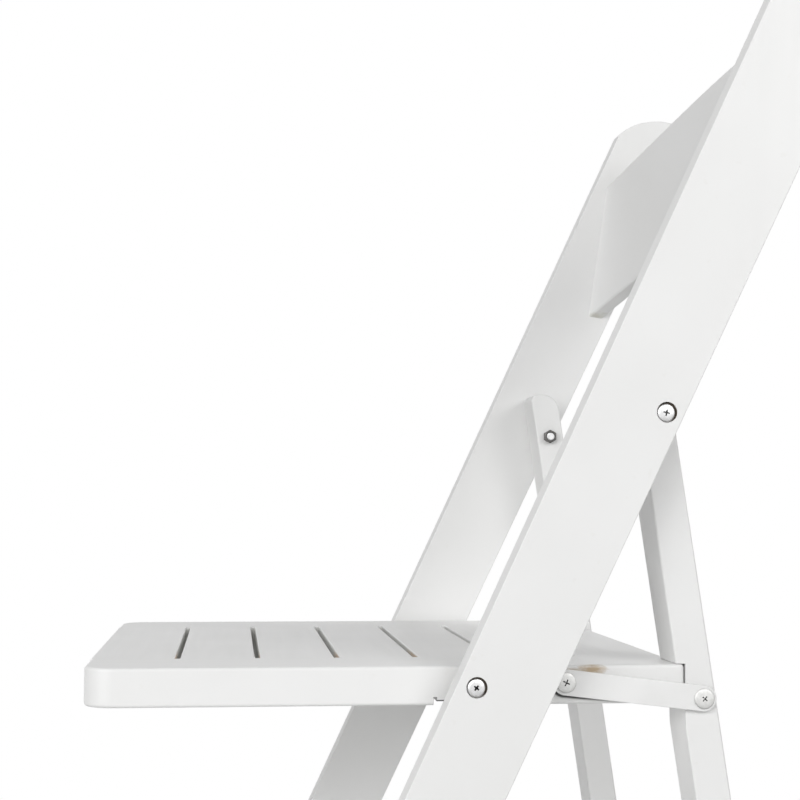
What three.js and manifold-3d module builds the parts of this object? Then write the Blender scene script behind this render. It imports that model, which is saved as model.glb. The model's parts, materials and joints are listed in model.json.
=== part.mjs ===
// Folding chair: a leaning front frame, a slatted seat, a pair of rear legs and two flat steel links.
// Units are millimetres. +X is the sitter's left, +Y is the back of the chair and +Z is up.
// Side profiles are drawn from the seat pivot's axis: a point is [distance back, distance up].
import * as THREE from 'three';
import { mergeVertices } from 'three/addons/utils/BufferGeometryUtils.js';
import Module from 'manifold-3d';

const wasm = await Module();
wasm.setup();

// Driving dimensions of the whole chair
const CHAIR_WIDTH = 420;
const SEAT_PIVOT_HEIGHT = 430.2;
const SEAT_PIVOT_BACK = -10.5;
const GAP = 0.3;

// Front frame
const UPRIGHT_LEAN = THREE.MathUtils.degToRad(25);
const UPRIGHT_THICKNESS = 20;
const UPRIGHT_FRONT = -11;
const UPRIGHT_REAR = 42;
const UPRIGHT_TAPER = 0.0125;
const UPRIGHT_SHOULDER = 446;
const UPRIGHT_DOME = 12;

// Rear legs
const LEG_LEAN = THREE.MathUtils.degToRad(8.3);
const LEG_WIDTH = 37;
const LEG_FRONT = -10;
const LEG_REAR = 11;
const LEG_ABOVE_PIVOT = 34;
const LEG_TOP_RADIUS = { front: 5, rear: 14 };
const LEG_OUTER_X = 183;
const LEG_STEP_BACK = 127.5;

// Seat
const SEAT_HALF_WIDTH = 183;
const SEAT_THICKNESS = 22.6;
const SEAT_TOP = 9.75;
const SEAT_FRONT = -222;
const SEAT_BACK = 126.7;
const SEAT_CORNER_RADIUS = 18;
const SLOT_HALF_LENGTH = 127;
const SLOT_WIDTH = 3.4;
const SLOT_PITCH = 48.4;
const FIRST_SLOT = -170.3;
const SLOT_COUNT = 6;
const TONGUE = { length: 12, width: 30, thickness: 8 };
const RAIL_RELIEF = { depth: 2.4, front: -21.4, back: 26, kerfWidth: 1.8, kerfDepth: 4.7 };

// Backrest
const BACK_END_LOW = [152.1, 256.7];
const BACK_END_HEIGHT = 110.2;
const BACK_LEAN = THREE.MathUtils.degToRad(8.5);
const BACK_THICKNESS = 11.5;
const BACK_BOW = 40;
const BACK_ARCH_LOW = 52.4;
const BACK_ARCH_TOP = 58.8;

// Stretchers: low is the distance along the member from its pivot to the bar's lower edge
const FRONT_STRETCHER = { low: -310, height: 42, front: -6, thickness: 20 };
const REAR_STRETCHER = { low: -446, height: 34, thickness: 15 };
const STRETCHER_TENON = { length: 11, margin: 5 };

// Pivots, each seen from the side
const SEAT_PIVOT = [0, 0];
const LEG_PIVOT = [110.5, 156.2];
const LINK_FRONT = [55.5, 0];
const LINK_REAR = [137.532, -10];

// Hardware
const LINK = { width: 15, thickness: 2.5, gapToRail: 1.2 };
const PIVOT_BOLT = { radius: 3, headRadius: 5.4, headHeight: 2.4 };
const COUNTERBORE = { radius: 6, depth: 3.2 };
const LINK_SCREW = { radius: 2.5, headRadius: 6, headHeight: 2.4, length: 24 };
const RECESS = { span: 5.4, width: 1.2, depth: 1.4 };
const SPACER_RADIUS = 7.5;
const NUT = { acrossFlats: 9, thickness: 5 };
const INSERT = { radius: 4.5, hole: 3.1, length: 14 };
const DOWEL = { radius: 3, inBoard: 10, inUpright: 12 };
const DOWEL_HEIGHTS = { lower: 0.3, upper: 0.7 };

const UPRIGHT_OUTER_X = CHAIR_WIDTH / 2;
const UPRIGHT_INNER_X = UPRIGHT_OUTER_X - UPRIGHT_THICKNESS;
const SEAT_BOTTOM = SEAT_TOP - SEAT_THICKNESS;
const FLOOR = -SEAT_PIVOT_HEIGHT;

function surface(name, color, roughness, metalness) {
  return new THREE.MeshStandardMaterial({ name, color, roughness, metalness });
}

const WHITE_PAINT = surface('white_paint', 0xf2f1ee, 0.45, 0);
const LINK_PAINT = surface('link_paint', 0xf2f1ee, 0.45, 0);
const STEEL = surface('steel', 0xc9cacc, 0.3, 1);
const DARK_STEEL = surface('dark_steel', 0x4b4a48, 0.5, 1);
const BRASS = surface('brass', 0xb79a5b, 0.35, 1);
const NYLON = surface('nylon', 0xe9e7e1, 0.6, 0);
const BEECH = surface('beech', 0xc79a6b, 0.7, 0);

const chair = new THREE.Group();
const pivotFrame = new THREE.Group();
pivotFrame.position.set(0, SEAT_PIVOT_BACK, SEAT_PIVOT_HEIGHT);
chair.add(pivotFrame);

function addPart(name, geometry, material) {
  const mesh = new THREE.Mesh(geometry, material);
  mesh.name = name;
  pivotFrame.add(mesh);
}

// ---------- solids ----------

function toSolid(geometry) {
  const bare = geometry.clone();
  bare.deleteAttribute('normal');
  bare.deleteAttribute('uv');
  const merged = mergeVertices(bare, 1e-4);
  const vertProperties = new Float32Array(merged.attributes.position.array);
  const triVerts = new Uint32Array(merged.index.array);
  return new wasm.Manifold(new wasm.Mesh({ numProp: 3, vertProperties, triVerts }));
}

function toGeometry(solid) {
  const mesh = solid.getMesh();
  const geometry = new THREE.BufferGeometry();
  geometry.setAttribute('position', new THREE.BufferAttribute(new Float32Array(mesh.vertProperties), 3));
  geometry.setIndex(new THREE.BufferAttribute(new Uint32Array(mesh.triVerts), 1));
  const faceted = geometry.toNonIndexed();
  faceted.computeVertexNormals();
  return faceted;
}

function cut(geometry, tools) {
  let solid = toSolid(geometry);
  for (const tool of tools) {
    solid = solid.subtract(toSolid(tool));
  }
  return toGeometry(solid);
}

function join(first, second) {
  return toGeometry(toSolid(first).add(toSolid(second)));
}

function keepCommon(first, second) {
  return toGeometry(toSolid(first).intersect(toSolid(second)));
}

// ---------- drawing helpers ----------

function shapeOf(points) {
  return new THREE.Shape(points.map(([x, y]) => new THREE.Vector2(x, y)));
}

// A side profile (back, up) given thickness across the chair from x0 to x1
function acrossX(shape, x0, x1) {
  const low = Math.min(x0, x1);
  const depth = Math.abs(x1 - x0);
  const geometry = new THREE.ExtrudeGeometry(shape, { depth, bevelEnabled: false, curveSegments: 14 });
  const basis = new THREE.Matrix4().makeBasis(
    new THREE.Vector3(0, 1, 0),
    new THREE.Vector3(0, 0, 1),
    new THREE.Vector3(1, 0, 0),
  );
  basis.setPosition(low, 0, 0);
  return geometry.applyMatrix4(basis);
}

function boxBetween([x0, x1], [y0, y1], [z0, z1]) {
  const geometry = new THREE.BoxGeometry(Math.abs(x1 - x0), Math.abs(y1 - y0), Math.abs(z1 - z0));
  return geometry.translate((x0 + x1) / 2, (y0 + y1) / 2, (z0 + z1) / 2);
}

function cylinderAlongX(radius, x0, x1, [back, up], segments = 24) {
  const geometry = new THREE.CylinderGeometry(radius, radius, Math.abs(x1 - x0), segments);
  return geometry.rotateZ(Math.PI / 2).translate((x0 + x1) / 2, back, up);
}

// Places along and across a leaning member, turned into back and up
function leaning(along, across, lean) {
  const back = along * Math.sin(lean) + across * Math.cos(lean);
  const up = along * Math.cos(lean) - across * Math.sin(lean);
  return [back, up];
}

const onUpright = (along, across) => leaning(along, across, UPRIGHT_LEAN);

function onLeg(along, across) {
  const [back, up] = leaning(along, across, -LEG_LEAN);
  return [LEG_PIVOT[0] + back, LEG_PIVOT[1] + up];
}

function leaningBar(place, low, high, front, rear) {
  return shapeOf([place(low, front), place(low, rear), place(high, rear), place(high, front)]);
}

// A turned profile [radius, distance along the axis], laid along X so that it grows towards side
function turned(profile, side, baseX, [back, up]) {
  const points = profile.map(([radius, along]) => new THREE.Vector2(radius, along));
  const geometry = new THREE.LatheGeometry(points, 20);
  return geometry.rotateZ(-side * Math.PI / 2).translate(baseX, back, up);
}

function crossRecess(side, topX, [back, up]) {
  const deep = topX - side * RECESS.depth;
  const proud = topX + side;
  const half = RECESS.span / 2;
  const thin = RECESS.width / 2;
  return [
    boxBetween([deep, proud], [back - half, back + half], [up - thin, up + thin]),
    boxBetween([deep, proud], [back - thin, back + thin], [up - half, up + half]),
  ];
}

// A round-headed screw: side is the way the head faces, headX the plane under its head
function headedScrew(size, side, headX, tipX, pivot) {
  const shank = Math.abs(headX - tipX);
  const profile = [
    [0, -shank],
    [size.radius - 0.5, -shank],
    [size.radius, -shank + 0.8],
    [size.radius, 0],
    [size.headRadius, 0],
    [size.headRadius, size.headHeight * 0.35],
    [size.headRadius * 0.86, size.headHeight * 0.8],
    [size.headRadius * 0.6, size.headHeight],
    [0, size.headHeight],
  ];
  const topX = headX + side * size.headHeight;
  return cut(turned(profile, side, headX, pivot), crossRecess(side, topX, pivot));
}

function ring(outer, inner, x0, x1, pivot) {
  const body = cylinderAlongX(outer, x0, x1, pivot);
  const hole = cylinderAlongX(inner, x0 - 1, x1 + 1, pivot);
  return cut(body, [hole]);
}

// ---------- front frame ----------

// How far back the upright's rear edge is at a height; its lean is a little more than the front edge's
function rearLine(up, rearLean) {
  return UPRIGHT_REAR / Math.cos(UPRIGHT_LEAN) + up * Math.tan(rearLean);
}

function uprightProfile() {
  const [frontBack, shoulderUp] = onUpright(UPRIGHT_SHOULDER, UPRIGHT_FRONT);
  const rearLean = UPRIGHT_LEAN + UPRIGHT_TAPER;
  const rearBack = rearLine(shoulderUp, rearLean);
  const halfChord = (rearBack - frontBack) / 2;
  const radius = (halfChord ** 2 + UPRIGHT_DOME ** 2) / (2 * UPRIGHT_DOME);
  const halfAngle = Math.asin(halfChord / radius);
  const centreUp = shoulderUp + UPRIGHT_DOME - radius;
  const footFront = FLOOR * Math.tan(UPRIGHT_LEAN) + UPRIGHT_FRONT / Math.cos(UPRIGHT_LEAN);
  const shape = new THREE.Shape();
  shape.moveTo(footFront, FLOOR);
  shape.lineTo(rearLine(FLOOR, rearLean), FLOOR);
  shape.lineTo(rearBack, shoulderUp);
  const domeStart = Math.PI / 2 - halfAngle;
  const domeEnd = Math.PI / 2 + halfAngle;
  shape.absarc(frontBack + halfChord, centreUp, radius, domeStart, domeEnd, false);
  shape.closePath();
  return shape;
}

function dowelPlace(share) {
  const middle = DOWEL.inBoard * BACK_BOW * 2 / UPRIGHT_INNER_X;
  const along = BACK_END_HEIGHT * share;
  const across = BACK_THICKNESS / 2 + middle / 2;
  const [back, up] = leaning(along, across, BACK_LEAN);
  return [BACK_END_LOW[0] + back, BACK_END_LOW[1] + up];
}

function stretcherBar(place, bar, front, endX) {
  const high = bar.low + bar.height;
  const body = acrossX(leaningBar(place, bar.low, high, front, front + bar.thickness), -endX, endX);
  return join(body, stretcherTenon(place, bar, front, endX + STRETCHER_TENON.length, 0));
}

function stretcherTenon(place, bar, front, endX, clearance) {
  const inset = STRETCHER_TENON.margin - clearance;
  const shape = leaningBar(
    place,
    bar.low + inset,
    bar.low + bar.height - inset,
    front + inset,
    front + bar.thickness - inset,
  );
  return acrossX(shape, -endX, endX);
}

function addUpright(side, name) {
  const outer = side * UPRIGHT_OUTER_X;
  const inner = side * UPRIGHT_INNER_X;
  const boreRadius = PIVOT_BOLT.radius + GAP;
  const boreFloor = outer - side * COUNTERBORE.depth;
  const tools = [stretcherTenon(
    onUpright,
    FRONT_STRETCHER,
    FRONT_STRETCHER.front,
    UPRIGHT_INNER_X + STRETCHER_TENON.length + GAP,
    GAP,
  )];
  for (const pivot of [SEAT_PIVOT, LEG_PIVOT]) {
    tools.push(cylinderAlongX(boreRadius, inner - side, outer + side, pivot, 20));
    tools.push(cylinderAlongX(COUNTERBORE.radius, boreFloor, outer + side, pivot));
  }
  for (const share of Object.values(DOWEL_HEIGHTS)) {
    const bottom = inner + side * (DOWEL.inUpright + GAP);
    tools.push(cylinderAlongX(DOWEL.radius + GAP, inner - side, bottom, dowelPlace(share), 16));
  }
  addPart(`${name}_upright`, cut(acrossX(uprightProfile(), inner, outer), tools), WHITE_PAINT);
}

function addBackrest() {
  const halfWidth = UPRIGHT_INNER_X - GAP;
  const steps = 24;
  const bowAt = (x) => BACK_BOW * (1 - (x / UPRIGHT_INNER_X) ** 2);
  const archAt = (x, height) => height * (1 - (x / UPRIGHT_INNER_X) ** 2);
  const reach = UPRIGHT_INNER_X + 10;
  const stations = Array.from({ length: steps + 1 }, (_, i) => -reach + (2 * reach * i) / steps);
  const band = shapeOf([
    ...stations.map((x) => [x, bowAt(x)]),
    ...stations.toReversed().map((x) => [x, bowAt(x) + BACK_THICKNESS]),
  ]);
  const inside = Array.from({ length: steps + 1 }, (_, i) => -halfWidth + (2 * halfWidth * i) / steps);
  const outline = shapeOf([
    ...inside.map((x) => [x, archAt(x, BACK_ARCH_LOW)]),
    ...inside.toReversed().map((x) => [x, archAt(x, BACK_ARCH_TOP) + BACK_END_HEIGHT]),
  ]);
  const tall = BACK_END_HEIGHT + BACK_ARCH_TOP + 20;
  const deep = BACK_BOW + BACK_THICKNESS + 40;
  const board = new THREE.ExtrudeGeometry(band, { depth: tall, bevelEnabled: false }).translate(0, 0, -10);
  const cutter = new THREE.ExtrudeGeometry(outline, { depth: deep, bevelEnabled: false });
  cutter.rotateX(Math.PI / 2).translate(0, deep - 20, 0);
  const bent = keepCommon(board, cutter);
  bent.rotateX(-BACK_LEAN).translate(0, BACK_END_LOW[0], BACK_END_LOW[1]);
  const holes = [];
  for (const side of [1, -1]) {
    const bottom = side * (halfWidth - DOWEL.inBoard - GAP);
    for (const share of Object.values(DOWEL_HEIGHTS)) {
      holes.push(cylinderAlongX(DOWEL.radius + GAP, bottom, side * reach, dowelPlace(share), 16));
    }
  }
  addPart('backrest', cut(bent, holes), WHITE_PAINT);
}

function addFrameHardware(side, name) {
  const headX = side * (UPRIGHT_OUTER_X - COUNTERBORE.depth + GAP);
  const spacerX = [side * (LEG_OUTER_X + GAP), side * (UPRIGHT_INNER_X - GAP)];
  const legInner = side * (LEG_OUTER_X - LEG_WIDTH);
  const nutX = [legInner - side * GAP, legInner - side * (GAP + NUT.thickness)];
  const boltTip = nutX[1] - side * 1.5;
  const seatScrewTip = side * (SEAT_HALF_WIDTH + GAP);

  const seatScrew = headedScrew(PIVOT_BOLT, side, headX, seatScrewTip, SEAT_PIVOT);
  const legBolt = headedScrew(PIVOT_BOLT, side, headX, boltTip, LEG_PIVOT);
  addPart(`${name}_seat_pivot_screw`, seatScrew, STEEL);
  addPart(`${name}_leg_pivot_bolt`, legBolt, STEEL);

  for (const [label, pivot] of [['seat', SEAT_PIVOT], ['leg', LEG_PIVOT]]) {
    const hole = PIVOT_BOLT.radius + GAP;
    const spacer = ring(SPACER_RADIUS, hole, Math.min(...spacerX), Math.max(...spacerX), pivot);
    addPart(`${name}_${label}_pivot_spacer`, spacer, NYLON);
  }

  const corner = NUT.acrossFlats / Math.sqrt(3);
  const hexagon = shapeOf(Array.from({ length: 6 }, (_, i) => [
    LEG_PIVOT[0] + corner * Math.sin(i * Math.PI / 3),
    LEG_PIVOT[1] + corner * Math.cos(i * Math.PI / 3),
  ]));
  const thread = cylinderAlongX(PIVOT_BOLT.radius + GAP, nutX[0] + side, nutX[1] - side, LEG_PIVOT, 20);
  addPart(`${name}_leg_pivot_nut`, cut(acrossX(hexagon, ...nutX), [thread]), DARK_STEEL);

  for (const [label, share] of Object.entries(DOWEL_HEIGHTS)) {
    const inBoard = side * (UPRIGHT_INNER_X - DOWEL.inBoard);
    const inUpright = side * (UPRIGHT_INNER_X + DOWEL.inUpright);
    const dowel = cylinderAlongX(DOWEL.radius, inBoard, inUpright, dowelPlace(share), 16);
    addPart(`${name}_backrest_dowel_${label}`, dowel, BEECH);
  }
}

// ---------- rear legs ----------

function legProfile() {
  const footAlong = (across) => (FLOOR - LEG_PIVOT[1] - across * Math.sin(LEG_LEAN)) / Math.cos(LEG_LEAN);
  const { front, rear } = LEG_TOP_RADIUS;
  const shape = new THREE.Shape();
  shape.moveTo(...onLeg(footAlong(LEG_FRONT), LEG_FRONT));
  shape.lineTo(...onLeg(footAlong(LEG_REAR), LEG_REAR));
  const rearCentre = onLeg(LEG_ABOVE_PIVOT - rear, LEG_REAR - rear);
  shape.absarc(...rearCentre, rear, LEG_LEAN, Math.PI / 2 + LEG_LEAN, false);
  const frontCentre = onLeg(LEG_ABOVE_PIVOT - front, LEG_FRONT + front);
  shape.absarc(...frontCentre, front, Math.PI / 2 + LEG_LEAN, Math.PI + LEG_LEAN, false);
  shape.closePath();
  return shape;
}

function addRearLeg(side, name) {
  const outer = side * LEG_OUTER_X;
  const inner = side * (LEG_OUTER_X - LEG_WIDTH);
  const screwHole = outer - side * (LINK_SCREW.length - 2);
  const front = -REAR_STRETCHER.thickness / 2;
  const mortiseEnd = Math.abs(inner) + STRETCHER_TENON.length + GAP;
  const mortise = stretcherTenon(onLeg, REAR_STRETCHER, front, mortiseEnd, GAP);
  const seatStep = boxBetween([inner - side, outer + side], [0, LEG_STEP_BACK], [-100, SEAT_TOP + GAP]);
  const tools = [
    cylinderAlongX(PIVOT_BOLT.radius + GAP, inner - side, outer + side, LEG_PIVOT, 20),
    cylinderAlongX(LINK_SCREW.radius + GAP, screwHole, outer + side, LINK_REAR, 20),
    mortise,
    seatStep,
  ];
  addPart(`${name}_rear_leg`, cut(acrossX(legProfile(), inner, outer), tools), WHITE_PAINT);
}

// ---------- links ----------

function linkProfile() {
  const [frontBack, frontUp] = LINK_FRONT;
  const [rearBack, rearUp] = LINK_REAR;
  const slope = Math.atan2(rearUp - frontUp, rearBack - frontBack);
  const radius = LINK.width / 2;
  const shape = new THREE.Shape();
  shape.absarc(rearBack, rearUp, radius, slope - Math.PI / 2, slope + Math.PI / 2, false);
  shape.absarc(frontBack, frontUp, radius, slope + Math.PI / 2, slope + Math.PI * 1.5, false);
  shape.closePath();
  return shape;
}

function addLink(side, name) {
  const near = side * (SEAT_HALF_WIDTH + LINK.gapToRail);
  const far = near + side * LINK.thickness;
  const holes = [LINK_FRONT, LINK_REAR].map((pivot) => (
    cylinderAlongX(LINK_SCREW.radius + GAP, near - side, far + side, pivot, 20)
  ));
  addPart(`${name}_link`, cut(acrossX(linkProfile(), near, far), holes), LINK_PAINT);
  const headX = far + side * GAP;
  const tipX = side * (SEAT_HALF_WIDTH - LINK_SCREW.length + 4);
  for (const [label, pivot] of [['front', LINK_FRONT], ['rear', LINK_REAR]]) {
    addPart(`${name}_link_${label}_screw`, headedScrew(LINK_SCREW, side, headX, tipX, pivot), STEEL);
  }
}

// ---------- seat ----------

function slatSpan(index) {
  const slotAt = (i) => FIRST_SLOT + i * SLOT_PITCH;
  const front = index === 0 ? SEAT_FRONT : slotAt(index - 1) + SLOT_WIDTH / 2;
  const back = index === SLOT_COUNT ? SEAT_BACK : slotAt(index) - SLOT_WIDTH / 2;
  return [front, back];
}

function tongueBox(index, endX, clearance) {
  const [front, back] = slatSpan(index);
  const middle = (front + back) / 2;
  const halfWidth = TONGUE.width / 2 + clearance;
  const centre = (SEAT_TOP + SEAT_BOTTOM) / 2;
  const halfThickness = TONGUE.thickness / 2 + clearance;
  return boxBetween(
    [-endX, endX],
    [middle - halfWidth, middle + halfWidth],
    [centre - halfThickness, centre + halfThickness],
  );
}

function addSlat(index) {
  const halfLength = SLOT_HALF_LENGTH - GAP;
  const body = boxBetween([-halfLength, halfLength], slatSpan(index), [SEAT_BOTTOM, SEAT_TOP]);
  const tongue = tongueBox(index, SLOT_HALF_LENGTH + TONGUE.length, 0);
  addPart(`seat_slat_${index + 1}`, join(body, tongue), WHITE_PAINT);
}

function railPlan(side) {
  const inner = side * SLOT_HALF_LENGTH;
  const outer = side * SEAT_HALF_WIDTH;
  const cornerX = outer - side * SEAT_CORNER_RADIUS;
  const cornerY = SEAT_FRONT + SEAT_CORNER_RADIUS;
  const clockwise = side < 0;
  const facing = side > 0 ? 0 : Math.PI;
  const shape = new THREE.Shape();
  shape.moveTo(inner, SEAT_BACK);
  shape.lineTo(inner, SEAT_FRONT);
  shape.absarc(cornerX, cornerY, SEAT_CORNER_RADIUS, -Math.PI / 2, facing, clockwise);
  shape.lineTo(outer, SEAT_BACK);
  shape.closePath();
  return shape;
}

function addSideRail(side, name) {
  const outer = side * SEAT_HALF_WIDTH;
  const inner = side * SLOT_HALF_LENGTH;
  const sweep = { depth: SEAT_THICKNESS, bevelEnabled: false, curveSegments: 12 };
  const board = new THREE.ExtrudeGeometry(railPlan(side), sweep);
  board.translate(0, 0, SEAT_BOTTOM);
  const relief = boxBetween(
    [inner - side, outer + side],
    [RAIL_RELIEF.front, RAIL_RELIEF.back],
    [SEAT_BOTTOM - 1, SEAT_BOTTOM + RAIL_RELIEF.depth],
  );
  const kerf = boxBetween(
    [inner - side, outer + side],
    [RAIL_RELIEF.front, RAIL_RELIEF.front + RAIL_RELIEF.kerfWidth],
    [SEAT_BOTTOM - 1, SEAT_BOTTOM + RAIL_RELIEF.kerfDepth],
  );
  const insertFloor = outer - side * (INSERT.length + GAP);
  const screwHole = outer - side * (LINK_SCREW.length - 2);
  const tools = [
    relief,
    kerf,
    cylinderAlongX(INSERT.radius + GAP, insertFloor, outer + side, SEAT_PIVOT, 20),
    cylinderAlongX(LINK_SCREW.radius + GAP, screwHole, outer + side, LINK_FRONT, 20),
  ];
  for (let index = 0; index <= SLOT_COUNT; index += 1) {
    tools.push(tongueBox(index, SLOT_HALF_LENGTH + TONGUE.length + GAP, GAP));
  }
  addPart(`${name}_seat_side_rail`, cut(board, tools), WHITE_PAINT);

  const insertX = [outer - side * INSERT.length, outer - side * GAP];
  const insert = ring(INSERT.radius, INSERT.hole, Math.min(...insertX), Math.max(...insertX), SEAT_PIVOT);
  addPart(`${name}_seat_pivot_insert`, insert, BRASS);
}

// ---------- the chair ----------

for (const [side, name] of [[1, 'left'], [-1, 'right']]) {
  addUpright(side, name);
  addFrameHardware(side, name);
  addRearLeg(side, name);
  addLink(side, name);
  addSideRail(side, name);
}
addBackrest();
for (let index = 0; index <= SLOT_COUNT; index += 1) {
  addSlat(index);
}
const rearStretcherFront = -REAR_STRETCHER.thickness / 2;
const legInnerX = LEG_OUTER_X - LEG_WIDTH;
const frontEndX = UPRIGHT_INNER_X - GAP;
const frontStretcher = stretcherBar(onUpright, FRONT_STRETCHER, FRONT_STRETCHER.front, frontEndX);
const rearStretcher = stretcherBar(onLeg, REAR_STRETCHER, rearStretcherFront, legInnerX - GAP);
addPart('front_stretcher', frontStretcher, WHITE_PAINT);
addPart('rear_stretcher', rearStretcher, WHITE_PAINT);

export default chair;
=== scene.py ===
"""Looks for the folding chair: rounded painted timber, detailed hardware, studio light and camera.

Everything is in metres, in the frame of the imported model: +X the sitter's left, +Y back, +Z up.
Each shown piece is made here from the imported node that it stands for, so nothing moves or grows.
"""

import json
from math import atan2, cos, pi, radians, sin, tau

import bmesh
import bpy
from mathutils import Matrix, Quaternion, Vector

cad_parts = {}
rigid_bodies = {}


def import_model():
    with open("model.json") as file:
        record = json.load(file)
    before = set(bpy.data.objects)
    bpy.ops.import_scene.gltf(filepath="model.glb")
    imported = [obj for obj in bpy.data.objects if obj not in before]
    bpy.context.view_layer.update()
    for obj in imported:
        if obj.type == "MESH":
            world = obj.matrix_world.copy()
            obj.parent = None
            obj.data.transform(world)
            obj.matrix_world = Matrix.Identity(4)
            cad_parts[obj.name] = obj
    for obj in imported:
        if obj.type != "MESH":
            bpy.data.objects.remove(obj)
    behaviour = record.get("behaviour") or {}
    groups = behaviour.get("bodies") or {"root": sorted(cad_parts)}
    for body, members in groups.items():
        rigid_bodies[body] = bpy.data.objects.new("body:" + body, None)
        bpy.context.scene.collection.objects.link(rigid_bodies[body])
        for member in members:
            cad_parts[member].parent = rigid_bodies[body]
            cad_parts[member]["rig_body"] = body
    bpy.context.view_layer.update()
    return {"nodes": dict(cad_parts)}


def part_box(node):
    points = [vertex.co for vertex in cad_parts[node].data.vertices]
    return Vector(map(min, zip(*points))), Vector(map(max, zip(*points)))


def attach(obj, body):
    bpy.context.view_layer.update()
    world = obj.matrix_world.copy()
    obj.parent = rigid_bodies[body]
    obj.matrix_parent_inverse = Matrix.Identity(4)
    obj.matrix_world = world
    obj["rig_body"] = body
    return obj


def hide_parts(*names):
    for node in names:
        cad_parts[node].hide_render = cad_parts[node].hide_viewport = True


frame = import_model()

MM = 0.001
SIDES = {"left": 1, "right": -1}

# Points closer than this are one point, and faces that differ by less than this angle are one face
MERGE = 0.01 * MM
FLAT_ANGLE = radians(0.6)
# What a face may be off its place and still count as being there
MARGIN = 0.1 * MM

# Lean of each member, from upright, turned about +X
UPRIGHT_LEAN = radians(-25)
LEG_LEAN = radians(8.3)

# Edge rounding of each kind of piece
UPRIGHT_ROUND = 0.6 * MM
LEG_ROUND = 1.4 * MM
RAIL_ROUND = 2.0 * MM
SLAT_ROUND = 1.0 * MM
BACK_ROUND = 1.7 * MM
STRETCHER_ROUND = 2.2 * MM
LINK_ROUND = 0.5 * MM
SHARP_ANGLE = radians(32)

# Relief under the seat's side rails, beside the pivot
RELIEF_DEPTH = 2.4 * MM
RELIEF_FRONT = -21.4 * MM
RELIEF_BACK = 26 * MM
KERF_WIDTH = 1.8 * MM
KERF_DEPTH = 4.7 * MM

# Step in the rear legs that takes the seat's back edge
LEG_STEP_GAP = 0.8 * MM
LEG_STEP_RISE = 0.3 * MM

SLAT_COUNT = 7

# Hardware
COUNTERBORE_RADIUS = 6.0 * MM
COUNTERBORE_DEPTH = 3.2 * MM
COUNTERBORE_FLARE = 0.3 * MM
SPACER_BORE = 3.3 * MM
INSERT_BORE = 3.1 * MM
RING_EDGE = 0.5 * MM
DOWEL_EDGE = 1.0 * MM
NUT_BORE = 3.1 * MM
NUT_COUNTERSINK = 3.7 * MM

# Screw heads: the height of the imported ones, and the dome and cross recess of the shown ones
HEAD_HEIGHT = 2.4 * MM
CROWN_STEPS = 9
CROWN_FULLNESS = 0.8
CROWN_INSET = 0.25 * MM
RECESS_DEPTH = 1.5 * MM
RECESS_STAGGER = 0.07 * MM
RECESS_POINT = 0.2 * MM
RECESS_TAPER = (0.45, 0.6)
CENTRED = Vector((0, 0, 0))
# The screws in the counterbores sit a little off the middle
SCREW_OFFSET = Vector((0, -0.22 * MM, -0.18 * MM))

# Each kind of cross-recess screw: rim and dome are heights of the head's rim and of the dome on it, reach and
# arm are half the length and half the width of the cross's bars, and the last flag says that the recess is
# painted near black, not grey. Both are painted shade in the recess.
SCREWS = {
    "seat_pivot_screw": dict(
        shank=3.0 * MM, rim=1.3 * MM, dome=1.1 * MM, reach=2.4 * MM, arm=0.62 * MM, turn=radians(38),
        painted_shade_black=True, offset=SCREW_OFFSET,
    ),
    "leg_pivot_bolt": dict(
        shank=3.0 * MM, rim=1.3 * MM, dome=1.1 * MM, reach=2.7 * MM, arm=0.50 * MM, turn=radians(12),
        painted_shade_black=False, offset=SCREW_OFFSET,
    ),
    "link_front_screw": dict(
        shank=2.5 * MM, rim=0.5 * MM, dome=0.7 * MM, reach=2.9 * MM, arm=0.45 * MM, turn=radians(25),
        painted_shade_black=True, offset=CENTRED,
    ),
    "link_rear_screw": dict(
        shank=2.5 * MM, rim=0.5 * MM, dome=0.7 * MM, reach=2.5 * MM, arm=0.40 * MM, turn=radians(40),
        painted_shade_black=False, offset=CENTRED,
    ),
}

# The painted shadow line round a link's front end: its distances from the screw, and how fast it narrows
# backwards
SHADOW_LINE_INNER = 8.6 * MM
SHADOW_LINE_OUTER = 9.6 * MM
SHADOW_LINE_NARROWING = 0.035

# Paint and what shows where it isn't whole, and the colours of painted shade and painted shadow
PAINT = (0.86, 0.86, 0.855)
PAINT_SHADE = (0.82, 0.82, 0.812)
PAINT_FLECK = (0.70, 0.68, 0.63)
BARE_WOOD = (0.50, 0.37, 0.225)
BARE_WOOD_DARK = (0.44, 0.32, 0.19)
BACKREST_CORNER_TINT = (0.50, 0.48, 0.37)
# Painted shade in the seat's slots, grey and brown
SLOT_SHADE_GREY = (0.78, 0.78, 0.76)
SLOT_SHADE_BROWN = (0.84, 0.68, 0.52)
# Dark bare wood with painted shade, for the counterbores
WELL_WOOD_SHADE = (0.16, 0.13, 0.10)
# Near black for painted shadow in the kerf, along the relief's edge and under the link's front end
PAINTED_SHADOW_BLACK = (0.03, 0.03, 0.03)

# Texture scales that stretch the grain along a member: upright ones, and the ones that lie across or back
GRAIN_UP = (220, 220, 9)
GRAIN_ACROSS = (9, 220, 220)
GRAIN_BACK = (220, 9, 220)

# Camera
LENS = 74.36
SENSOR = 36.0
CAMERA_PLACE = Vector((1.1387, -0.1482, 0.5342))
CAMERA_YAW = radians(5.76)
CAMERA_PITCH = radians(3.55)
CAMERA_ROLL = radians(-0.14)

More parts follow.
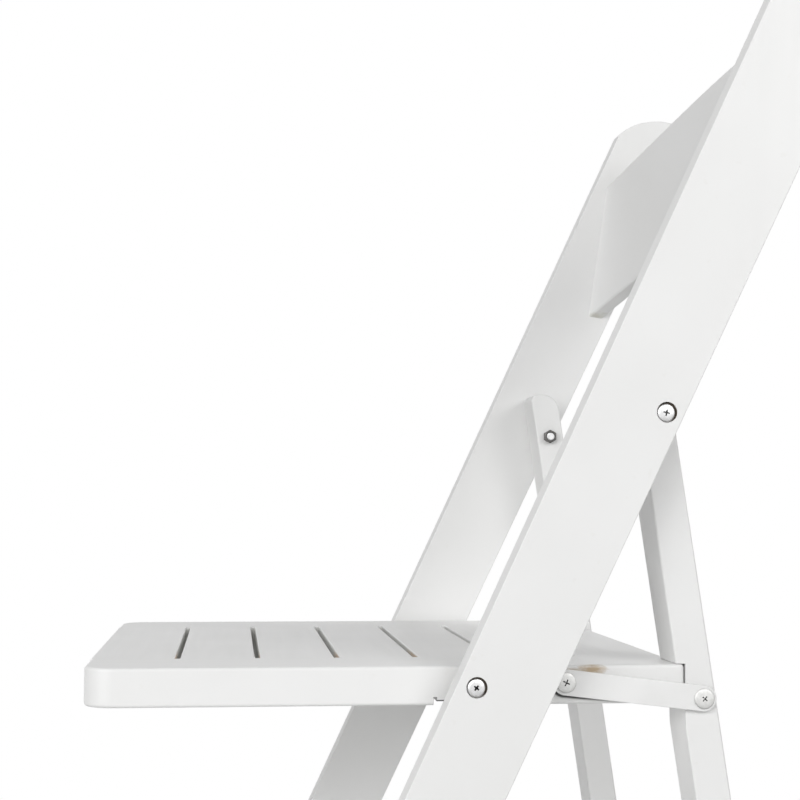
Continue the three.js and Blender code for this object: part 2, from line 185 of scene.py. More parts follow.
# Soft lights: name, place and power in watts. The world is weak as a light, and white where it is seen.
LIGHTS = (
    ("key", (2.2, 1.3, 1.6), 25),
    ("front", (1.8, -1.8, 1.0), 25),
    ("side", (2.6, -0.9, 1.7), 15.5),
    ("top", (0.3, -1.4, 2.6), 8),
    ("far_fill", (-2.0, 1.6, 1.2), 14),
)
LIGHT_SIZE = 1.4
LIGHT_TARGET = Vector((0, 0.05, 0.5))
WORLD_LIT = 0.15
WORLD_SEEN = 1.0

FLOOR_RADIUS = 1.7
FLOOR_FADE = (0.9, 1.65)
FLOOR_DROP = 0.5 * MM


# ---------- mesh helpers ----------

def hull_of(node, reach=None):
    """The node's solid without its holes. Inside reach, tenons and tongues are left off."""
    points = [v.co.copy() for v in frame["nodes"][node].data.vertices]
    if reach is not None:
        points = [p for p in points if abs(p.x) <= reach]
        widest = max(abs(p.x) for p in points)
        for p in points:
            if abs(abs(p.x) - widest) < MERGE:
                p.x = reach if p.x > 0 else -reach
    bm = bmesh.new()
    for p in points:
        bm.verts.new(p)
    bmesh.ops.remove_doubles(bm, verts=bm.verts, dist=MERGE)
    made = bmesh.ops.convex_hull(bm, input=bm.verts)
    spare = [g for g in made["geom_interior"] + made["geom_unused"] if isinstance(g, bmesh.types.BMVert)]
    bmesh.ops.delete(bm, geom=list(set(spare)), context="VERTS")
    flatten(bm)
    return bm


def copy_of(node):
    """The node's own solid."""
    bm = bmesh.new()
    bm.from_mesh(frame["nodes"][node].data)
    bmesh.ops.remove_doubles(bm, verts=bm.verts, dist=MERGE)
    flatten(bm)
    return bm


def flatten(bm):
    """Flat faces become whole, and all faces look outwards."""
    bmesh.ops.dissolve_limit(bm, angle_limit=FLAT_ANGLE, verts=bm.verts, edges=bm.edges)
    bmesh.ops.recalc_face_normals(bm, faces=bm.faces)


def round_edges(bm, width, segments=4, choose=None):
    """Rounds the sharp edges, or the sharp edges that choose picks."""
    edges = [e for e in bm.edges if e.is_manifold and e.calc_face_angle(0) > SHARP_ANGLE]
    if choose is not None:
        edges = [e for e in edges if choose(e)]
    bmesh.ops.bevel(
        bm, geom=edges, offset=width, offset_type="OFFSET", segments=segments,
        profile=0.5, affect="EDGES", clamp_overlap=True,
    )


def turned(profile, side, base, steps=64):
    """A solid turned about X: profile holds (radius, distance along side) and starts and ends on the axis."""
    bm = bmesh.new()
    rings = []
    for radius, along in profile:
        x = base.x + side * along
        if radius == 0:
            rings.append([bm.verts.new((x, base.y, base.z))])
            continue
        circle = [(radius * cos(tau * i / steps), radius * sin(tau * i / steps)) for i in range(steps)]
        rings.append([bm.verts.new((x, base.y + y, base.z + z)) for y, z in circle])
    for inner, outer in zip(rings, rings[1:]):
        for i in range(steps):
            j = (i + 1) % steps
            corners = [ring[k % len(ring)] for ring, k in ((inner, i), (inner, j), (outer, j), (outer, i))]
            bm.faces.new(list(dict.fromkeys(corners)))
    bmesh.ops.recalc_face_normals(bm, faces=bm.faces)
    return bm


def plug_profile(radius, width, edge):
    """The profile of a short cylinder with its edges broken, for turned()."""
    inner, end = radius - edge, width - edge
    return [(0, 0), (inner, 0), (radius, edge), (radius, end), (inner, width), (0, width)]


def block(low, high):
    """A box between two corners, as a tool for carve() or a start for one."""
    bm = bmesh.new()
    bmesh.ops.create_cube(bm, size=1.0)
    size = Vector(high) - Vector(low)
    for v in bm.verts:
        v.co = Vector(low) + Vector([(v.co[i] + 0.5) * size[i] for i in range(3)])
    return bm


def to_object(bm, name):
    """Puts the mesh into the scene, and frees the bmesh."""
    mesh = bpy.data.meshes.new(name)
    bm.to_mesh(mesh)
    bm.free()
    obj = bpy.data.objects.new(name, mesh)
    bpy.context.scene.collection.objects.link(obj)
    return obj


def carve(obj, cutters, operation="DIFFERENCE"):
    """Cuts the tool meshes out of the object, or keeps what they share with it."""
    tools = [to_object(bm, "tool") for bm in cutters]
    for tool in tools:
        step = obj.modifiers.new("carve", "BOOLEAN")
        step.object = tool
        step.operation = operation
        step.solver = "EXACT"
    bpy.context.view_layer.update()
    result = bpy.data.meshes.new_from_object(obj.evaluated_get(bpy.context.evaluated_depsgraph_get()))
    obj.modifiers.clear()
    obj.data = result
    for tool in tools:
        bpy.data.objects.remove(tool)


def shade(obj):
    """Smooth over rounded edges and curves, crisp at the sharp ones."""
    bm = bmesh.new()
    bm.from_mesh(obj.data)
    for face in bm.faces:
        face.smooth = True
    for edge in bm.edges:
        edge.smooth = not edge.is_manifold or edge.calc_face_angle(0) < SHARP_ANGLE
    bm.to_mesh(obj.data)
    bm.free()
    weighted = obj.modifiers.new("weighted_normals", "WEIGHTED_NORMAL")
    weighted.keep_sharp = True
    weighted.weight = 100


def stand_in(obj, node, material):
    """The finished piece takes the node's place and body, and the given material."""
    obj.data.materials.clear()
    obj.data.materials.append(material)
    shade(obj)
    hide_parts(node)
    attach(obj, frame["nodes"][node]["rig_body"])


def centre_of(node):
    low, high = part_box(node)
    return (low + high) / 2


# ---------- materials ----------

class Nodes:
    """A material's node tree, with short calls for the nodes that are used over and over."""

    def __init__(self, name):
        self.material = bpy.data.materials.new(name)
        self.material.use_nodes = True
        self.tree = self.material.node_tree
        self.shader = self.tree.nodes["Principled BSDF"]
        self.place = self.tree.nodes.new("ShaderNodeTexCoord").outputs["Object"]

    def add(self, kind, **values):
        node = self.tree.nodes.new(kind)
        for key, value in values.items():
            setattr(node, key, value)
        return node

    def link(self, output, target):
        self.tree.links.new(output, target)

    def mapped(self, scale, turn=(0, 0, 0)):
        node = self.add("ShaderNodeMapping")
        self.link(self.place, node.inputs["Vector"])
        node.inputs["Rotation"].default_value = turn
        node.inputs["Scale"].default_value = scale
        return node.outputs["Vector"]

    def noise(self, vector, scale, detail=3.0, rough=0.55, twist=0.0):
        node = self.add("ShaderNodeTexNoise")
        self.link(vector, node.inputs["Vector"])
        node.inputs["Scale"].default_value = scale
        node.inputs["Detail"].default_value = detail
        node.inputs["Roughness"].default_value = rough
        node.inputs["Distortion"].default_value = twist
        return node.outputs["Fac"]

    def spread(self, value, low, high, to_low, to_high):
        node = self.add("ShaderNodeMapRange")
        self.link(value, node.inputs["Value"])
        node.inputs["From Min"].default_value = low
        node.inputs["From Max"].default_value = high
        node.inputs["To Min"].default_value = to_low
        node.inputs["To Max"].default_value = to_high
        return node.outputs["Result"]

    def math(self, operation, first, second):
        node = self.add("ShaderNodeMath", operation=operation)
        for socket, value in zip(node.inputs, (first, second)):
            if isinstance(value, (int, float)):
                socket.default_value = value
            else:
                self.link(value, socket)
        return node.outputs["Value"]

    def mix(self, share, first, second):
        node = self.add("ShaderNodeMix", data_type="RGBA")
        self.link(share, node.inputs["Factor"])
        for name, value in (("A", first), ("B", second)):
            socket = next(s for s in node.inputs if s.name == name and s.type == "RGBA")
            if isinstance(value, tuple):
                socket.default_value = (*value, 1)
            else:
                self.link(value, socket)
        return next(s for s in node.outputs if s.type == "RGBA")

    def bump(self, height, strength, distance, under=None):
        node = self.add("ShaderNodeBump")
        self.link(height, node.inputs["Height"])
        node.inputs["Strength"].default_value = strength
        node.inputs["Distance"].default_value = distance
        if under is not None:
            self.link(under, node.inputs["Normal"])
        return node.outputs["Normal"]

    def finish(self, color=None, roughness=None, normal=None, **values):
        for name, output in (("Base Color", color), ("Roughness", roughness), ("Normal", normal)):
            if output is not None:
                self.link(output, self.shader.inputs[name])
        for name, value in values.items():
            self.shader.inputs[name.replace("_", " ")].default_value = value
        return self.material


def painted_wood(name, grain_scale, grain_turn=(0, 0, 0), layers=()):
    """Satin paint on planed timber: brush and grain show through as a very low relief.

    Each layer is a function that gives its share and its colour where the paint isn't whole.
    """
    nodes = Nodes(name)
    along = nodes.mapped(grain_scale, grain_turn)
    even = nodes.mapped((1, 1, 1))
    grain = nodes.noise(along, 1.0, detail=4, rough=0.62, twist=0.25)
    stipple = nodes.noise(even, 900, detail=2)
    cloud = nodes.noise(even, 7, detail=2)
    color = nodes.mix(nodes.spread(cloud, 0.35, 0.65, 0, 1), PAINT, PAINT_SHADE)
    fleck = nodes.spread(nodes.noise(even, 140, detail=2), 0.70, 0.76, 0, 0.10)
    color = nodes.mix(fleck, color, PAINT_FLECK)
    rough = nodes.spread(grain, 0.3, 0.7, 0.36, 0.50)
    for layer in layers:
        share, under = layer(nodes)
        color = nodes.mix(share, color, under)
        rough = nodes.math("MAXIMUM", rough, nodes.math("MULTIPLY", share, 0.8))
    relief = nodes.bump(grain, 0.22, 0.10 * MM)
    relief = nodes.bump(stipple, 0.16, 0.05 * MM, relief)
    return nodes.finish(color, rough, relief, IOR=1.48, Coat_Weight=0.12, Coat_Roughness=0.22)


def oval_mask(nodes, centre, radii, ragged, strength):
    """Strength inside a ragged oval round a place on the piece, fading to 0 outside."""
    vector = nodes.add("ShaderNodeMapping", vector_type="TEXTURE")
    nodes.link(nodes.place, vector.inputs["Vector"])
    vector.inputs["Location"].default_value = centre
    vector.inputs["Scale"].default_value = radii
    length = nodes.add("ShaderNodeVectorMath", operation="LENGTH")
    nodes.link(vector.outputs["Vector"], length.inputs[0])
    streaks = nodes.noise(nodes.mapped((1, 0.3, 1.6)), 420, detail=4, rough=0.7)
    edge = nodes.math("ADD", length.outputs["Value"], nodes.spread(streaks, 0.3, 0.7, -ragged, ragged))
    return nodes.spread(edge, 0.4, 1.1, strength, 0.0)


def metal(name, color, shade_color, rough_low, rough_high):
    """Metal with a little tarnish, and fine scratches that make its roughness uneven."""
    nodes = Nodes(name)
    vector = nodes.mapped((1, 1, 1))
    tarnish = nodes.noise(vector, 500, detail=4, rough=0.6)
    scratch = nodes.noise(nodes.mapped((200, 3200, 3200)), 1.0, detail=3, rough=0.7)
    shares = nodes.spread(tarnish, 0.38, 0.66, 0, 1)
    rough = nodes.spread(scratch, 0.25, 0.75, rough_low, rough_high)
    relief = nodes.bump(scratch, 0.12, 0.03 * MM)
    return nodes.finish(nodes.mix(shares, color, shade_color), rough, relief, Metallic=1.0)


def plain_wood(name):
    nodes = Nodes(name)
    along = nodes.mapped(GRAIN_ACROSS)
    grain = nodes.noise(along, 1.0, detail=5, rough=0.65, twist=0.5)
    color = nodes.mix(grain, (0.66, 0.46, 0.27), (0.50, 0.31, 0.16))
    return nodes.finish(color, nodes.spread(grain, 0.3, 0.7, 0.55, 0.7), nodes.bump(grain, 0.3, 0.1 * MM))


def moulded_plastic(name):
    nodes = Nodes(name)
    grit = nodes.noise(nodes.mapped((1, 1, 1)), 2200, detail=2)
    color = nodes.mix(grit, (0.80, 0.79, 0.76), (0.74, 0.73, 0.70))
    return nodes.finish(color, nodes.spread(grit, 0.3, 0.7, 0.42, 0.58), nodes.bump(grit, 0.2, 0.04 * MM))


def painted_steel(name):
    """Thicker, smoother paint than on the timber."""
    nodes = Nodes(name)
    even = nodes.mapped((1, 1, 1))
    peel = nodes.noise(even, 700, detail=2)
    cloud = nodes.noise(even, 30, detail=3)
    color = nodes.mix(nodes.spread(cloud, 0.35, 0.65, 0, 1), PAINT, PAINT_SHADE)
    return nodes.finish(
        color, nodes.spread(cloud, 0.3, 0.7, 0.34, 0.38), nodes.bump(peel, 0.2, 0.06 * MM), IOR=1.5,
        Coat_Weight=0.25, Coat_Roughness=0.15,
    )


def axis_of(nodes, axis):
    """One coordinate of the place on the piece."""
    parts = nodes.add("ShaderNodeSeparateXYZ")
    nodes.link(nodes.place, parts.inputs["Vector"])
    return parts.outputs[axis]


def rail_rub(side):
    """Paint rubbed off the side rail's outer face, above the link's front end."""
    low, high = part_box(f"{side}_seat_side_rail")
    link_front = centre_of(f"{side}_link_front_screw")
    outer = high.x if SIDES[side] > 0 else low.x

    def layer(nodes):
        core = (outer, link_front.y + 16 * MM, high.z - 2.8 * MM)
        tail = (outer, link_front.y + 5 * MM, high.z - 3.6 * MM)
        worn = oval_mask(nodes, core, (5 * MM, 9 * MM, 4.1 * MM), 0.30, 0.88)
        faint = oval_mask(nodes, tail, (5 * MM, 7 * MM, 2.4 * MM), 0.30, 0.45)
        grain = nodes.noise(nodes.mapped(GRAIN_BACK), 9.0, detail=5, rough=0.6, twist=0.6)
        wood = nodes.mix(grain, BARE_WOOD, BARE_WOOD_DARK)
        return nodes.math("MAXIMUM", worn, faint), wood

    return layer


def slot_shade_colour(nodes):
    """Painted shade in the slots: grey, and browner towards their +X ends."""
    ragged = nodes.spread(nodes.noise(nodes.place, 120, detail=3), 0.3, 0.7, -22 * MM, 22 * MM)
    reach = nodes.math("ADD", axis_of(nodes, "X"), ragged)
    return nodes.mix(nodes.spread(reach, 55 * MM, 115 * MM, 0.0, 0.9), SLOT_SHADE_GREY, SLOT_SHADE_BROWN)


def slot_wall(index):
    """The slot walls below the top of the boards take the slot colour: painted shade in the slots."""
    low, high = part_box(f"seat_slat_{index}")
    skin = 0.5 * MM

    def layer(nodes):
        across = axis_of(nodes, "Y")
        walls = nodes.math("LESS_THAN", across, low.y + skin if index > 1 else low.y - skin)
        if index < SLAT_COUNT:
            walls = nodes.math("MAXIMUM", walls, nodes.math("GREATER_THAN", across, high.y - skin))
        ragged = nodes.spread(nodes.noise(nodes.place, 260, detail=3), 0.3, 0.7, -0.3 * MM, 0.3 * MM)
        depth = nodes.math("ADD", axis_of(nodes, "Z"), ragged)
        below = nodes.spread(depth, high.z - 1.3 * MM, high.z - 0.7 * MM, 1.0, 0.0)
        return nodes.math("MULTIPLY", walls, below), slot_shade_colour(nodes)

    return layer


def slot_end(side):
    """The rail's inner face shows only at the ends of the slots, where it takes the slot colour: painted shade.
    """
    low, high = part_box(f"{side}_seat_side_rail")
    inner = min(abs(low.x), abs(high.x))

    def layer(nodes):
        size = nodes.math("ABSOLUTE", axis_of(nodes, "X"), 0.0)
        face = nodes.math("LESS_THAN", size, inner + MARGIN)
        below = nodes.spread(axis_of(nodes, "Z"), high.z - 1.3 * MM, high.z - 0.7 * MM, 1.0, 0.0)
        return nodes.math("MULTIPLY", face, below), slot_shade_colour(nodes)

    return layer


def relief_edge(side):
    """The kerf and the upper edge of the relief beside the pivot are painted near black on the outer face:
    painted shadow.
    """
    low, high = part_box(f"{side}_seat_side_rail")
    pivot = centre_of(f"{side}_seat_pivot_screw")
    start = pivot.y + RELIEF_FRONT
    end = pivot.y + RELIEF_BACK
    outer = max(abs(low.x), abs(high.x))
    skin = 1.2 * MM
    rim = low.z + RELIEF_DEPTH

    def layer(nodes):
        back, up = axis_of(nodes, "Y"), axis_of(nodes, "Z")
        size = nodes.math("ABSOLUTE", axis_of(nodes, "X"), 0.0)
        inside = nodes.math("GREATER_THAN", size, outer - skin)
        inside = nodes.math("MULTIPLY", inside, nodes.math("GREATER_THAN", back, start - MARGIN))
        inside = nodes.math("MULTIPLY", inside, nodes.math("LESS_THAN", back, end + MARGIN))
        edge = nodes.spread(up, rim + 0.5 * MM, rim + 1.0 * MM, 0.95, 0.0)
        kerf = nodes.math("LESS_THAN", back, start + KERF_WIDTH + MARGIN)
        kerf = nodes.math("MULTIPLY", kerf, nodes.math("LESS_THAN", up, low.z + KERF_DEPTH + MARGIN))
        return nodes.math("MULTIPLY", inside, nodes.math("MAXIMUM", edge, kerf)), PAINTED_SHADOW_BLACK

    return layer


def well_wood_and_shade(nodes):
    """The counterbores are coloured as dark bare wood, with painted shade that is darkest above and behind the
    screw heads.
    """
    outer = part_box("left_upright")[1].x
    size = nodes.math("ABSOLUTE", axis_of(nodes, "X"), 0.0)
    inside = nodes.spread(size, outer - 0.9 * MM, outer - 0.4 * MM, 1.0, 0.0)
    wells = None
    for node in ("left_seat_pivot_screw", "left_leg_pivot_bolt"):
        pivot = centre_of(node)
        back = nodes.math("SUBTRACT", axis_of(nodes, "Y"), pivot.y)
        up = nodes.math("SUBTRACT", axis_of(nodes, "Z"), pivot.z)
        squares = nodes.math("ADD", nodes.math("MULTIPLY", back, back), nodes.math("MULTIPLY", up, up))
        well = nodes.math("LESS_THAN", squares, (COUNTERBORE_RADIUS + MARGIN) ** 2)
        # Painted shade: the well is darker towards above and behind the screw
        upper = nodes.spread(nodes.math("ADD", back, up), -4 * MM, 2 * MM, 0.25, 1.0)
        well = nodes.math("MULTIPLY", well, upper)
        wells = well if wells is None else nodes.math("MAXIMUM", wells, well)
    return nodes.math("MULTIPLY", inside, wells), WELL_WOOD_SHADE


def backrest_corner_patch(nodes):
    """A darker olive patch at the lower corner of the backrest, by the right upright."""
    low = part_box("backrest")[0]
    corner = (low.x + 5 * MM, low.y + 4 * MM, low.z)
    chip = oval_mask(nodes, corner, (9 * MM, 14 * MM, 5 * MM), 0.30, 0.55)
    return chip, BACKREST_CORNER_TINT


def link_painted_shadow(side):
    """Painted shadow: a dark line on the rail, under the lower edge of the link's front end, fading towards the
    back.
    """
    front = centre_of(f"{side}_link_front_screw")
    rear = centre_of(f"{side}_link_rear_screw")
    slope = atan2(rear.z - front.z, rear.y - front.y)

    def layer(nodes):
        back = nodes.math("SUBTRACT", axis_of(nodes, "Y"), front.y)
        up = nodes.math("SUBTRACT", axis_of(nodes, "Z"), front.z)
        reach = nodes.math("MULTIPLY", back, cos(slope))
        reach = nodes.math("ADD", reach, nodes.math("MULTIPLY", up, sin(slope)))
        below = nodes.math("MULTIPLY", back, sin(slope))
        below = nodes.math("SUBTRACT", below, nodes.math("MULTIPLY", up, cos(slope)))
        before = nodes.math("MINIMUM", reach, 0.0)
        squares = nodes.math("MULTIPLY", before, before)
        squares = nodes.math("ADD", squares, nodes.math("MULTIPLY", below, below))
        away = nodes.math("POWER", squares, 0.5)
        behind = nodes.math("MAXIMUM", reach, 0.0)
        away = nodes.math("ADD", away, nodes.math("MULTIPLY", behind, SHADOW_LINE_NARROWING))
        band = nodes.spread(away, SHADOW_LINE_INNER, SHADOW_LINE_OUTER, 0.93, 0.0)
        fade = nodes.spread(reach, 12 * MM, 48 * MM, 1.0, 0.0)
        lower = nodes.spread(below, -2 * MM, 2 * MM, 0.0, 1.0)
        return nodes.math("MULTIPLY", band, nodes.math("MULTIPLY", fade, lower)), PAINTED_SHADOW_BLACK

    return layer


def make_materials():
    """The looks that several pieces share, by name."""
    made = {
        "upright": painted_wood("paint_on_uprights", GRAIN_UP, (UPRIGHT_LEAN, 0, 0), [well_wood_and_shade]),
        "leg": painted_wood("paint_on_legs", GRAIN_UP, (LEG_LEAN, 0, 0)),
        "across": painted_wood("paint_on_crossbars", GRAIN_ACROSS),
        "backrest": painted_wood("paint_on_backrest", GRAIN_ACROSS, layers=[backrest_corner_patch]),
        "link_paint": painted_steel("paint_on_links"),
        "steel": metal("zinc_plated_steel", (0.72, 0.72, 0.725), (0.62, 0.62, 0.62), 0.24, 0.42),
        "dull_steel": metal("dull_plated_steel", (0.62, 0.62, 0.61), (0.55, 0.55, 0.54), 0.52, 0.66),
        # Near black and grey steel for the cross recesses: painted shade.
        "painted_shade_black": metal("soiled_steel", (0.05, 0.05, 0.05), (0.02, 0.02, 0.02), 0.5, 0.75),
        "recess": metal("recess_grey_shade_steel", (0.20, 0.20, 0.20), (0.12, 0.12, 0.12), 0.45, 0.7),
        "dark_steel": metal("dark_steel", (0.16, 0.155, 0.15), (0.09, 0.088, 0.085), 0.38, 0.6),
        "brass": metal("brass", (0.72, 0.55, 0.28), (0.60, 0.43, 0.20), 0.25, 0.45),
        "nylon": moulded_plastic("nylon_spacer"),
        "beech": plain_wood("beech_dowel"),
    }
    for side in SIDES:
        layers = [slot_end(side), relief_edge(side), link_painted_shadow(side)]
        if side == "left":
            layers.append(rail_rub(side))
        made[f"{side}_rail"] = painted_wood(f"paint_on_{side}_rail", GRAIN_BACK, layers=layers)
    return made


# ---------- timber ----------

def screw_well(node, side):
    """The tool for a counterbore with a softened rim, round the screw that sits in it."""
    middle = centre_of(node)
    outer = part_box("left_upright")[1].x
    base = Vector((side * outer, middle.y, middle.z))
    radius = COUNTERBORE_RADIUS
    profile = [
        (0, -COUNTERBORE_DEPTH),
        (radius, -COUNTERBORE_DEPTH),
        (radius, -COUNTERBORE_FLARE),
        (radius + COUNTERBORE_FLARE * 0.3, -COUNTERBORE_FLARE * 0.3),
        (radius + COUNTERBORE_FLARE, 0),
        (radius + COUNTERBORE_FLARE, MM),
        (0, MM),
    ]
    return turned(profile, side, base)


def make_uprights(material):
    """Each upright has two counterbores in its outer face."""
    for name, side in SIDES.items():
        bm = hull_of(f"{name}_upright")
        round_edges(bm, UPRIGHT_ROUND)
        upright = to_object(bm, f"{name}_upright_timber")
        wells = [f"{name}_seat_pivot_screw", f"{name}_leg_pivot_bolt"]
        carve(upright, [screw_well(node, side) for node in wells])
        stand_in(upright, f"{name}_upright", material)


def make_legs(material):
    """Each rear leg has a step in it, under which the seat's back edge sits."""
    for name in SIDES:
        bm = hull_of(f"{name}_rear_leg")
        round_edges(bm, LEG_ROUND)
        leg = to_object(bm, f"{name}_rear_leg_timber")
        low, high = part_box(f"{name}_rear_leg")
        seat_low, seat_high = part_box(f"{name}_seat_side_rail")
        step = block(
            (low.x - MM, 0, seat_low.z - 60 * MM),
            (high.x + MM, seat_high.y + LEG_STEP_GAP, seat_high.z + LEG_STEP_RISE),
        )
        carve(leg, [step])
        stand_in(leg, f"{name}_rear_leg", material)


def make_backrest(material):
    """The board's rims are rounded, its ends aren't, and its ends touch the uprights."""
    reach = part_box("backrest")[1].x
    upright_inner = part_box("left_upright")[0].x
    bm = copy_of("backrest")

    def on_the_rims(edge):
        return any(abs(v.co.x) <= reach - 0.5 * MM for v in edge.verts)

    round_edges(bm, BACK_ROUND, choose=on_the_rims)
    for v in bm.verts:
        if abs(v.co.x) > reach - 2 * MERGE:
            v.co.x = upright_inner if v.co.x > 0 else -upright_inner
    stand_in(to_object(bm, "backrest_board"), "backrest", material)


def make_stretchers(material):
    """The bars end at the faces that their tenons go into."""
    reaches = {"front_stretcher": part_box("left_upright")[0].x, "rear_stretcher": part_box("left_rear_leg")[0].x}
    for node, reach in reaches.items():
        bm = hull_of(node, reach)
        round_edges(bm, STRETCHER_ROUND, choose=runs_across)
        stand_in(to_object(bm, f"{node}_bar"), node, material)


def runs_across(edge):
    first, second = (v.co for v in edge.verts)
    return abs(first.x - second.x) > 0.8 * (first - second).length


def make_seat(materials):
    """Side rails with a kerf and a relief in their lower faces, and slats that end at the rails."""
    rail_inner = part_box("left_seat_side_rail")[0].x
    for name, side in SIDES.items():
        node = f"{name}_seat_side_rail"
        low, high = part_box(node)
        inner = side * rail_inner

        def off_the_slats(edge):
            return any(abs(v.co.x - inner) >= MARGIN for v in edge.verts)

        bm = hull_of(node)
        round_edges(bm, RAIL_ROUND, choose=off_the_slats)
        rail = to_object(bm, f"{name}_seat_side_rail_timber")
        pivot = centre_of(f"{name}_seat_pivot_screw")
        start = pivot.y + RELIEF_FRONT
        relief = block(
            (low.x - MM, start, low.z - MM),
            (high.x + MM, pivot.y + RELIEF_BACK, low.z + RELIEF_DEPTH),
        )
        kerf = block((low.x - MM, start, low.z - MM), (high.x + MM, start + KERF_WIDTH, low.z + KERF_DEPTH))
        carve(rail, [relief, kerf])
        stand_in(rail, node, materials[f"{name}_rail"])
    for index in range(1, SLAT_COUNT + 1):
        node = f"seat_slat_{index}"
        bm = hull_of(node, rail_inner)
        round_edges(bm, SLAT_ROUND, choose=runs_across)
        paint = painted_wood(f"paint_on_slat_{index}", GRAIN_ACROSS, layers=[slot_wall(index)])
        stand_in(to_object(bm, f"{node}_timber"), node, paint)


# ---------- hardware ----------

def recess_tools(top, side, size):
    """Two tapered bars that cross, and a small cone where they meet. No two of them end in one plane."""
    tools = []
    reach, arm = size["reach"], size["arm"]
    bars = ((size["turn"], RECESS_DEPTH), (size["turn"] + pi / 2, RECESS_DEPTH + RECESS_STAGGER))
    for angle, depth in bars:
        bm = block((-depth, -reach, -arm), (RECESS_DEPTH, reach, arm))
        for v in bm.verts:
            if v.co.x < 0:
                v.co.y *= RECESS_TAPER[0]
                v.co.z *= RECESS_TAPER[1]
        bm.transform(Matrix.Rotation(-angle, 4, "X"))
        if side < 0:
            bm.transform(Matrix.Rotation(pi, 4, "Z"))
        bm.transform(Matrix.Translation(top))
        tools.append(bm)
    rise = RECESS_DEPTH * 0.6
    floor = RECESS_DEPTH + RECESS_POINT
    cone = [(0, -floor), (0.5 * MM, -floor), (arm * 2, rise), (0, rise)]
    tools.append(turned(cone, side, top, 16))
    return tools


def make_screw(name, kind, side, materials):
    """A domed cross-recess screw in the place of the plain one."""
    node = f"{name}_{kind}"
    size = SCREWS[kind]
    low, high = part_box(node)
    middle = centre_of(node) + size["offset"]
    tip = low.x if side > 0 else high.x
    radius = (high.z - low.z) / 2
    head = high.x - low.x - HEAD_HEIGHT
    shank, rim = size["shank"], head + size["rim"]
    height = rim + size["dome"]
    top = tip + side * height
    crown = radius - CROWN_INSET
    profile = [(0, 0), (shank * 0.8, 0), (shank, 0.6 * MM), (shank, head), (radius, head)]
    profile += [(radius, rim - 0.2 * MM), (crown, rim)]
    for step in range(1, CROWN_STEPS):
        angle = pi / 2 * step / CROWN_STEPS
        profile.append((crown * cos(angle) ** CROWN_FULLNESS, rim + size["dome"] * sin(angle)))
    profile.append((0, height))
    screw = to_object(turned(profile, side, Vector((tip, middle.y, middle.z)), 48), f"{node}_domed")
    carve(screw, recess_tools(Vector((top, middle.y, middle.z)), side, size))
    stand_in(screw, node, materials["dull_steel" if "link" in kind else "steel"])
    # The faces of the cross recess take the near black or grey steel: painted shade in the recess.
    screw.data.materials.append(materials["painted_shade_black" if size["painted_shade_black"] else "recess"])
    for face in screw.data.polygons:
        spot = face.center - middle
        near_axis = Vector((spot.y, spot.z)).length < size["reach"]
        depth = abs(face.center.x - top)
        wall = abs(face.normal.x) < 0.8 and depth < RECESS_DEPTH + RECESS_POINT
        floor = abs(depth - RECESS_DEPTH) < RECESS_POINT + 0.05 * MM
        if near_axis and (wall or floor):
            face.material_index = 1


def make_nut(node, side, material):
    """A hexagon nut with its outer corners chamfered."""
    low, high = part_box(node)
    middle = centre_of(node)
    flat = (high.y - low.y) / 2
    corner = flat / cos(pi / 6)
    bm = bmesh.new()
    rings = []
    for x in (low.x, high.x):
        corners = [(corner * sin(tau * i / 6), corner * cos(tau * i / 6)) for i in range(6)]
        rings.append([bm.verts.new((x, middle.y + y, middle.z + z)) for y, z in corners])
    for ring in rings:
        bm.faces.new(ring)
    for i in range(6):
        j = (i + 1) % 6
        bm.faces.new((rings[0][i], rings[0][j], rings[1][j], rings[1][i]))
    bmesh.ops.recalc_face_normals(bm, faces=bm.faces)
    nut = to_object(bm, f"{node}_chamfered")
    width = high.x - low.x
    base = Vector((high.x if side > 0 else low.x, middle.y, middle.z))
    outer = [(0, -MM), (corner + MM, -MM), (corner + MM, width * 0.72), (flat * 0.93, width), (0, width)]
    carve(nut, [turned(outer, -side, base)], "INTERSECT")
    above = width + 0.1 * MM
    thread = [(0, -MM), (NUT_BORE, -MM), (NUT_BORE, width - 0.5 * MM), (NUT_COUNTERSINK, above), (0, above)]
    carve(nut, [turned(thread, -side, base)])
    stand_in(nut, node, material)


def make_ring(node, hole, material):
    """A spacer or insert: a turned ring with its edges broken."""
    low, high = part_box(node)
    middle = centre_of(node)
    radius = (high.z - low.z) / 2
    width = high.x - low.x
    base = Vector((low.x, middle.y, middle.z))
    piece = to_object(turned(plug_profile(radius, width, RING_EDGE), 1, base), f"{node}_turned")
    bore = [(0, -MM), (hole, -MM), (hole, width + MM), (0, width + MM)]
    carve(piece, [turned(bore, 1, base)])
    stand_in(piece, node, material)


def make_link(name, material):
    bm = hull_of(f"{name}_link")
    round_edges(bm, LINK_ROUND, segments=3)
    stand_in(to_object(bm, f"{name}_link_bar"), f"{name}_link", material)


def make_dowel(node, material):
    low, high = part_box(node)
    profile = plug_profile((high.z - low.z) / 2, high.x - low.x, DOWEL_EDGE)
    base = Vector((low.x, *centre_of(node)[1:]))
    stand_in(to_object(turned(profile, 1, base, 32), f"{node}_pin"), node, material)


def make_hardware(materials):
    for name, side in SIDES.items():
        for kind in SCREWS:
            make_screw(name, kind, side, materials)
        make_nut(f"{name}_leg_pivot_nut", side, materials["dark_steel"])
        make_ring(f"{name}_seat_pivot_spacer", SPACER_BORE, materials["nylon"])
        make_ring(f"{name}_leg_pivot_spacer", SPACER_BORE, materials["nylon"])
        make_ring(f"{name}_seat_pivot_insert", INSERT_BORE, materials["brass"])
        make_link(name, materials["link_paint"])
        for label in ("lower", "upper"):
            make_dowel(f"{name}_backrest_dowel_{label}", materials["beech"])


# ---------- stage, light and camera ----------

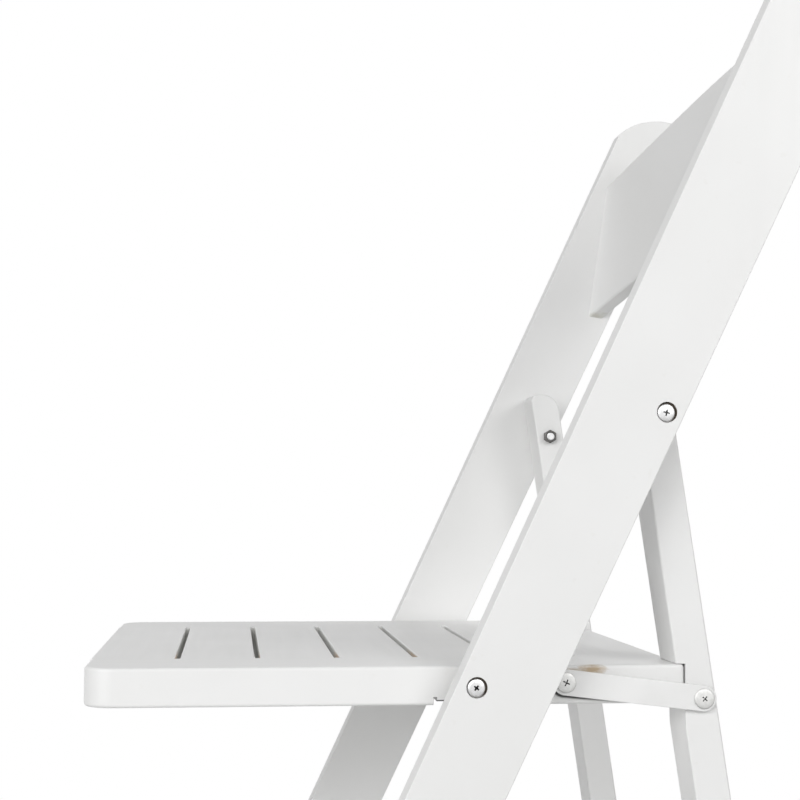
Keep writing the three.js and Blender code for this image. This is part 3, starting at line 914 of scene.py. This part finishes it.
def make_stage():
    """A white disc of floor that fades out at its rim."""
    bm = bmesh.new()
    bmesh.ops.create_circle(bm, cap_ends=True, segments=96, radius=FLOOR_RADIUS)
    floor = to_object(bm, "floor")
    floor.location.z = -FLOOR_DROP
    nodes = Nodes("pale_floor")
    nodes.finish(Roughness=0.6)
    nodes.shader.inputs["Base Color"].default_value = (0.88, 0.88, 0.875, 1)
    length = nodes.add("ShaderNodeVectorMath", operation="LENGTH")
    nodes.link(nodes.place, length.inputs[0])
    nodes.link(nodes.spread(length.outputs["Value"], *FLOOR_FADE, 1, 0), nodes.shader.inputs["Alpha"])
    floor.data.materials.append(nodes.material)


def make_area_light(name, place, power):
    light = bpy.data.lights.new(name, "AREA")
    light.shape = "DISK"
    light.size = LIGHT_SIZE
    light.energy = power
    obj = bpy.data.objects.new(name, light)
    obj.location = place
    obj.rotation_mode = "QUATERNION"
    obj.rotation_quaternion = (LIGHT_TARGET - Vector(place)).to_track_quat("-Z", "Y")
    bpy.context.scene.collection.objects.link(obj)


def make_light():
    for name, place, power in LIGHTS:
        make_area_light(name, place, power)
    world = bpy.data.worlds.new("studio")
    bpy.context.scene.world = world
    world.use_nodes = True
    tree = world.node_tree
    tree.nodes.clear()
    output = tree.nodes.new("ShaderNodeOutputWorld")
    mixer = tree.nodes.new("ShaderNodeMixShader")
    path = tree.nodes.new("ShaderNodeLightPath")
    seen = tree.nodes.new("ShaderNodeMath")
    seen.operation = "MAXIMUM"
    tree.links.new(path.outputs["Is Camera Ray"], seen.inputs[0])
    tree.links.new(path.outputs["Is Glossy Ray"], seen.inputs[1])
    tree.links.new(seen.outputs["Value"], mixer.inputs["Fac"])
    for socket, strength in ((mixer.inputs[1], WORLD_LIT), (mixer.inputs[2], WORLD_SEEN)):
        background = tree.nodes.new("ShaderNodeBackground")
        background.inputs["Color"].default_value = (1, 1, 1, 1)
        background.inputs["Strength"].default_value = strength
        tree.links.new(background.outputs["Background"], socket)
    tree.links.new(mixer.outputs["Shader"], output.inputs["Surface"])
    bpy.context.scene.view_settings.view_transform = "Standard"


def make_camera():
    camera = bpy.data.cameras.new("camera")
    camera.lens = LENS
    camera.sensor_width = SENSOR
    obj = bpy.data.objects.new("camera", camera)
    forward = Vector((
        -cos(CAMERA_PITCH) * cos(CAMERA_YAW),
        cos(CAMERA_PITCH) * sin(CAMERA_YAW),
        sin(CAMERA_PITCH),
    ))
    obj.location = CAMERA_PLACE
    obj.rotation_mode = "QUATERNION"
    obj.rotation_quaternion = Quaternion(forward, CAMERA_ROLL) @ forward.to_track_quat("-Z", "Y")
    bpy.context.scene.collection.objects.link(obj)
    bpy.context.scene.camera = obj


make_camera()
materials = make_materials()
make_uprights(materials["upright"])
make_legs(materials["leg"])
make_backrest(materials["backrest"])
make_stretchers(materials["across"])
make_seat(materials)
make_hardware(materials)
make_stage()
make_light()
